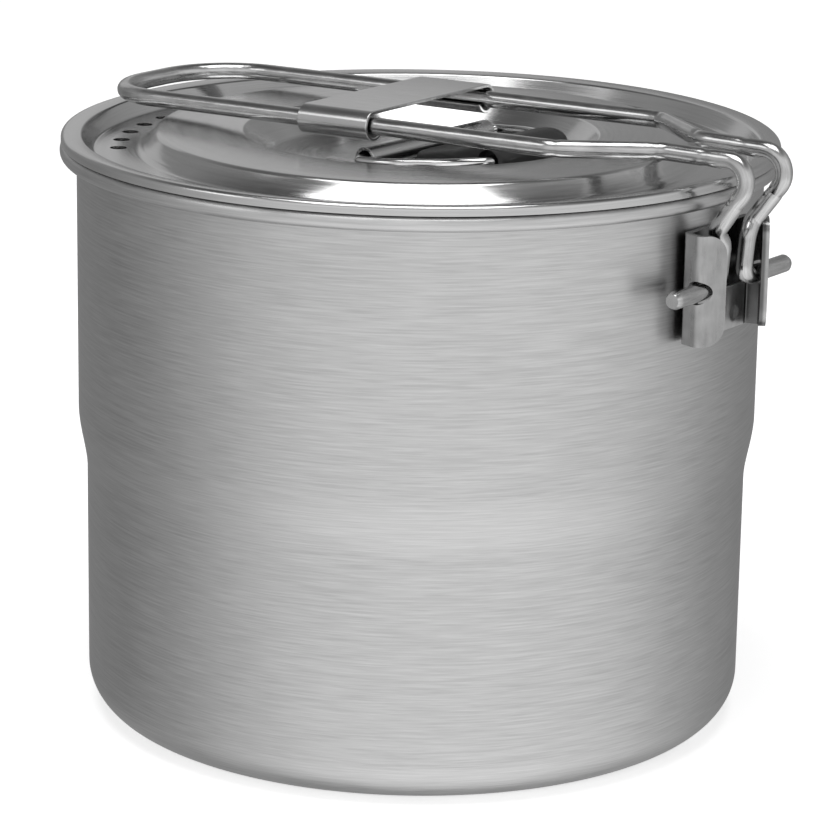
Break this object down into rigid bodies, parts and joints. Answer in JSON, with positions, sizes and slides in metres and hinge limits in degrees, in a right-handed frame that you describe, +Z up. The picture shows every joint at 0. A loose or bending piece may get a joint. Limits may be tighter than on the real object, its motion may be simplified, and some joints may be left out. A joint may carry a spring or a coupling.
{
  "type": "camping cook set",
  "caption": "Steel camping pot with a strainer lid, a swing-over wire handle with a slide lock, and nested insulated bowls and sporks packed inside.",
  "frame": {"origin": "centre of the pot's flat base, on the surface that it stands on", "axes": "+Z up along the pot's axis, +X from the axis towards the handle bracket, +Y completes the right-handed frame"},
  "size_m": [0.136, 0.128, 0.1113],
  "materials": {
    "pot_steel": "brushed round the pot",
    "bracket_steel": "brushed",
    "plate_steel": "satin",
    "wire_steel": "drawn and tumbled",
    "lock_steel": "satin",
    "lid_steel": "brushed, with a polished edge",
    "ring_steel": "drawn",
    "grip_rubber": "matte black moulding",
    "bowl_shell": "fine texture",
    "bowl_liner": "satin",
    "spork_steel": "satin"
  },
  "bodies": {
    "pot": {"pot_body": "pot_steel", "handle_bracket": "bracket_steel", "bracket_stop_plate": "plate_steel"},
    "lid": {"lid_shell": "lid_steel", "lid_ring_clip": "plate_steel"},
    "ring": {"lid_ring_wire": "ring_steel", "lid_ring_grip": "grip_rubber"},
    "handle": {"handle_wire": "wire_steel"},
    "lock": {"slide_lock": "lock_steel"},
    "lower_bowl": {"lower_bowl_shell": "bowl_shell", "lower_bowl_liner": "bowl_liner"},
    "upper_bowl": {"upper_bowl_shell": "bowl_shell", "upper_bowl_liner": "bowl_liner"},
    "first_spork": {"first_spork": "spork_steel"},
    "second_spork": {"second_spork": "spork_steel"}
  },
  "joints": [
    {"name": "handle_swing", "type": "hinge", "parent": "pot", "child": "handle", "pos_m": [0.0646, 0, 0.0875], "axis": [0, 1, 0], "range_deg": [0, 160]},
    {"name": "lock_slide", "type": "slide", "parent": "handle", "child": "lock", "axis": [0.9998, 0, 0.0216], "range_m": [-0.007, 0.034]},
    {"name": "lid_lift", "type": "slide", "parent": "pot", "child": "lid", "axis": [0, 0, 1], "range_m": [0, 0.03]},
    {"name": "ring_flip", "type": "hinge", "parent": "lid", "child": "ring", "pos_m": [0.0012, -0.00005, 0.10287], "axis": [-0.0419, -0.9991, 0], "range_deg": [0, 165]},
    {"name": "lower_bowl_lift", "type": "slide", "parent": "pot", "child": "lower_bowl", "axis": [0, 0, 1], "range_m": [0, 0.012]},
    {"name": "upper_bowl_lift", "type": "slide", "parent": "pot", "child": "upper_bowl", "axis": [0, 0, 1], "range_m": [0, 0.0265]},
    {"name": "first_spork_lift", "type": "slide", "parent": "pot", "child": "first_spork", "axis": [0, 0, 1], "range_m": [0, 0.028]},
    {"name": "second_spork_lift", "type": "slide", "parent": "pot", "child": "second_spork", "axis": [0, 0, 1], "range_m": [0, 0.028]}
  ],
  "couplings": [
    {"joint": "lid_lift", "follows": "handle_swing", "m_per_rad": 0.0104},
    {"joint": "ring_flip", "follows": "handle_swing", "ratio": 0.5625},
    {"joint": "lower_bowl_lift", "follows": "handle_swing", "m_per_rad": 0.004},
    {"joint": "upper_bowl_lift", "follows": "handle_swing", "m_per_rad": 0.0094},
    {"joint": "first_spork_lift", "follows": "handle_swing", "m_per_rad": 0.0099},
    {"joint": "second_spork_lift", "follows": "handle_swing", "m_per_rad": 0.0099}
  ]
}
